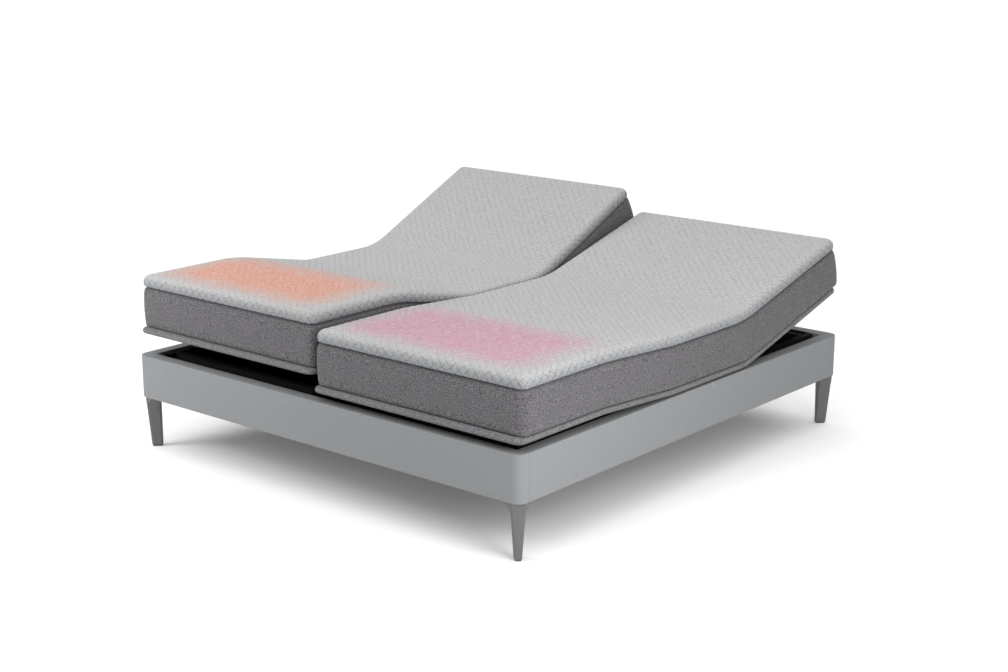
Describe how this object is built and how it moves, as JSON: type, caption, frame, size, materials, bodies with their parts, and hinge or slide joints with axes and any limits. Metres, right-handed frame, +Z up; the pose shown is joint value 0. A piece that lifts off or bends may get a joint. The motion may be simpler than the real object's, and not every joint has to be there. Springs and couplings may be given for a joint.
{
  "type": "adjustable bed base",
  "caption": "Split adjustable bed: side-by-side bases with mattresses whose back and leg sections raise, in a low grey surround on short tapered legs.",
  "frame": {"origin": "on the floor at the middle of the surround's footprint", "axes": "+Z up, +Y towards the head end, +X towards the right-hand bed seen from the foot"},
  "size_m": [1.9316, 2.032, 0.8905],
  "materials": {
    "rail_finish": "matte",
    "leg_finish": "satin",
    "glide_plastic": "matte",
    "black_liner": "matte",
    "black_steel": "satin",
    "zinc_steel": "satin",
    "clip_plastic": "matte",
    "deck_fabric": "matte",
    "mattress_fabric": "matte",
    "housing_plastic": "matte",
    "roller_plastic": "satin"
  },
  "bodies": {
    "frame": {"center_support": "black_steel", "corner_brackets": "black_steel", "corner_screws": "zinc_steel", "cover_clip": "clip_plastic", "foot_rail": "rail_finish", "head_rail": "rail_finish", "leg_foot_left": "leg_finish", "leg_foot_right": "leg_finish", "leg_glides": "glide_plastic", "leg_head_left": "leg_finish", "leg_head_right": "leg_finish", "rail_liners": "black_liner", "side_rail_left": "rail_finish", "side_rail_right": "rail_finish", "right_chassis": "black_steel", "right_control_box": "housing_plastic", "right_seat_deck": "deck_fabric", "right_seat_mattress": "mattress_fabric", "right_seat_hinges": "zinc_steel", "right_head_actuator": "housing_plastic", "right_leg_actuator": "housing_plastic", "left_chassis": "black_steel", "left_control_box": "housing_plastic", "left_seat_deck": "deck_fabric", "left_seat_mattress": "mattress_fabric", "left_seat_hinges": "zinc_steel", "left_head_actuator": "housing_plastic", "left_leg_actuator": "housing_plastic"},
    "right_back": {"right_back_deck": "deck_fabric", "right_back_mattress": "mattress_fabric", "right_back_hinges": "zinc_steel"},
    "right_thigh": {"right_thigh_deck": "deck_fabric", "right_thigh_mattress": "mattress_fabric", "right_thigh_hinges": "zinc_steel"},
    "right_foot": {"right_foot_deck": "deck_fabric", "right_foot_mattress": "mattress_fabric", "right_foot_hinges": "zinc_steel"},
    "right_links": {"right_foot_links": "black_steel"},
    "right_head_lift": {"right_head_lift_arm": "black_steel"},
    "right_head_roller_pair": {"right_head_rollers": "roller_plastic"},
    "right_head_rod": {"right_head_actuator_rod": "zinc_steel"},
    "right_leg_lift": {"right_leg_lift_arm": "black_steel"},
    "right_leg_roller_pair": {"right_leg_rollers": "roller_plastic"},
    "right_leg_rod": {"right_leg_actuator_rod": "zinc_steel"},
    "left_back": {"left_back_deck": "deck_fabric", "left_back_mattress": "mattress_fabric", "left_back_hinges": "zinc_steel"},
    "left_thigh": {"left_thigh_deck": "deck_fabric", "left_thigh_mattress": "mattress_fabric", "left_thigh_hinges": "zinc_steel"},
    "left_foot": {"left_foot_deck": "deck_fabric", "left_foot_mattress": "mattress_fabric", "left_foot_hinges": "zinc_steel"},
    "left_links": {"left_foot_links": "black_steel"},
    "left_head_lift": {"left_head_lift_arm": "black_steel"},
    "left_head_roller_pair": {"left_head_rollers": "roller_plastic"},
    "left_head_rod": {"left_head_actuator_rod": "zinc_steel"},
    "left_leg_lift": {"left_leg_lift_arm": "black_steel"},
    "left_leg_roller_pair": {"left_leg_rollers": "roller_plastic"},
    "left_leg_rod": {"left_leg_actuator_rod": "zinc_steel"}
  },
  "joints": [
    {"name": "right_back_raise", "type": "hinge", "parent": "frame", "child": "right_back", "pos_m": [0.465, 0.33, 0.397], "axis": [1, 0, 0], "range_deg": [-15, 45]},
    {"name": "right_thigh_raise", "type": "hinge", "parent": "frame", "child": "right_thigh", "pos_m": [0.465, -0.15, 0.397], "axis": [-1, 0, 0], "range_deg": [-3.4, 36.6]},
    {"name": "right_foot_level", "type": "hinge", "parent": "right_thigh", "child": "right_foot", "pos_m": [0.465, -0.56008, 0.40784], "axis": [-1, 0, 0], "range_deg": [-36.7, 3.5]},
    {"name": "right_link_turn", "type": "hinge", "parent": "frame", "child": "right_links", "pos_m": [0.465, -0.15, 0.352], "axis": [-1, 0, 0], "range_deg": [-3.5, 36.7]},
    {"name": "right_head_arm_turn", "type": "hinge", "parent": "frame", "child": "right_head_lift", "pos_m": [0.465, 0.27, 0.3435], "axis": [1, 0, 0], "range_deg": [-11.6, 34.5]},
    {"name": "right_head_roller_turn", "type": "hinge", "parent": "right_head_lift", "child": "right_head_roller_pair", "pos_m": [0.465, 0.58114, 0.41827], "axis": [1, 0, 0], "range_deg": [-35, 11.8]},
    {"name": "right_head_rod_slide", "type": "slide", "parent": "frame", "child": "right_head_rod", "axis": [0, 1, 0], "range_m": [-0.014, 0.0412]},
    {"name": "right_leg_arm_turn", "type": "hinge", "parent": "frame", "child": "right_leg_lift", "pos_m": [0.465, -0.09, 0.3435], "axis": [-1, 0, 0], "range_deg": [-2.6, 26.4]},
    {"name": "right_leg_roller_turn", "type": "hinge", "parent": "right_leg_lift", "child": "right_leg_roller_pair", "pos_m": [0.465, -0.34902, 0.36603], "axis": [-1, 0, 0], "range_deg": [-44.9, 4.3]},
    {"name": "right_leg_rod_slide", "type": "slide", "parent": "frame", "child": "right_leg_rod", "axis": [0, -1, 0], "range_m": [-0.0033, 0.0321]},
    {"name": "left_back_raise", "type": "hinge", "parent": "frame", "child": "left_back", "pos_m": [-0.465, 0.33, 0.397], "axis": [1, 0, 0], "range_deg": [-25.5, 34.5]},
    {"name": "left_thigh_raise", "type": "hinge", "parent": "frame", "child": "left_thigh", "pos_m": [-0.465, -0.15, 0.397], "axis": [-1, 0, 0], "range_deg": [-11.2, 28.8]},
    {"name": "left_foot_level", "type": "hinge", "parent": "left_thigh", "child": "left_foot", "pos_m": [-0.465, -0.55481, 0.46339], "axis": [-1, 0, 0], "range_deg": [-28.9, 11.3]},
    {"name": "left_link_turn", "type": "hinge", "parent": "frame", "child": "left_links", "pos_m": [-0.465, -0.15, 0.352], "axis": [-1, 0, 0], "range_deg": [-11.3, 28.9]},
    {"name": "left_head_arm_turn", "type": "hinge", "parent": "frame", "child": "left_head_lift", "pos_m": [-0.465, 0.27, 0.3435], "axis": [1, 0, 0], "range_deg": [-19.6, 26.5]},
    {"name": "left_head_roller_turn", "type": "hinge", "parent": "left_head_lift", "child": "left_head_roller_pair", "pos_m": [-0.465, 0.56767, 0.46093], "axis": [1, 0, 0], "range_deg": [-26.8, 19.9]},
    {"name": "left_head_rod_slide", "type": "slide", "parent": "frame", "child": "left_head_rod", "axis": [0, 1, 0], "range_m": [-0.0235, 0.0317]},
    {"name": "left_leg_arm_turn", "type": "hinge", "parent": "frame", "child": "left_leg_lift", "pos_m": [-0.465, -0.09, 0.3435], "axis": [-1, 0, 0], "range_deg": [-8.2, 20.8]},
    {"name": "left_leg_roller_turn", "type": "hinge", "parent": "left_leg_lift", "child": "left_leg_roller_pair", "pos_m": [-0.465, -0.34559, 0.39119], "axis": [-1, 0, 0], "range_deg": [-35.4, 13.9]},
    {"name": "left_leg_rod_slide", "type": "slide", "parent": "frame", "child": "left_leg_rod", "axis": [0, -1, 0], "range_m": [-0.0101, 0.0253]}
  ],
  "couplings": [
    {"joint": "right_foot_level", "follows": "right_thigh_raise", "ratio": -1},
    {"joint": "right_link_turn", "follows": "right_thigh_raise", "ratio": 1},
    {"joint": "right_head_arm_turn", "follows": "right_back_raise", "ratio": 0.7635},
    {"joint": "right_head_roller_turn", "follows": "right_back_raise", "ratio": -0.77356},
    {"joint": "right_head_rod_slide", "follows": "right_back_raise", "m_per_rad": 0.052033},
    {"joint": "right_leg_arm_turn", "follows": "right_thigh_raise", "ratio": 0.7177},
    {"joint": "right_leg_roller_turn", "follows": "right_thigh_raise", "ratio": -1.2238},
    {"joint": "right_leg_rod_slide", "follows": "right_thigh_raise", "m_per_rad": 0.049715},
    {"joint": "left_foot_level", "follows": "left_thigh_raise", "ratio": -1},
    {"joint": "left_link_turn", "follows": "left_thigh_raise", "ratio": 1},
    {"joint": "left_head_arm_turn", "follows": "left_back_raise", "ratio": 0.7635},
    {"joint": "left_head_roller_turn", "follows": "left_back_raise", "ratio": -0.77356},
    {"joint": "left_head_rod_slide", "follows": "left_back_raise", "m_per_rad": 0.052033},
    {"joint": "left_leg_arm_turn", "follows": "left_thigh_raise", "ratio": 0.7177},
    {"joint": "left_leg_roller_turn", "follows": "left_thigh_raise", "ratio": -1.2238},
    {"joint": "left_leg_rod_slide", "follows": "left_thigh_raise", "m_per_rad": 0.049715}
  ]
}
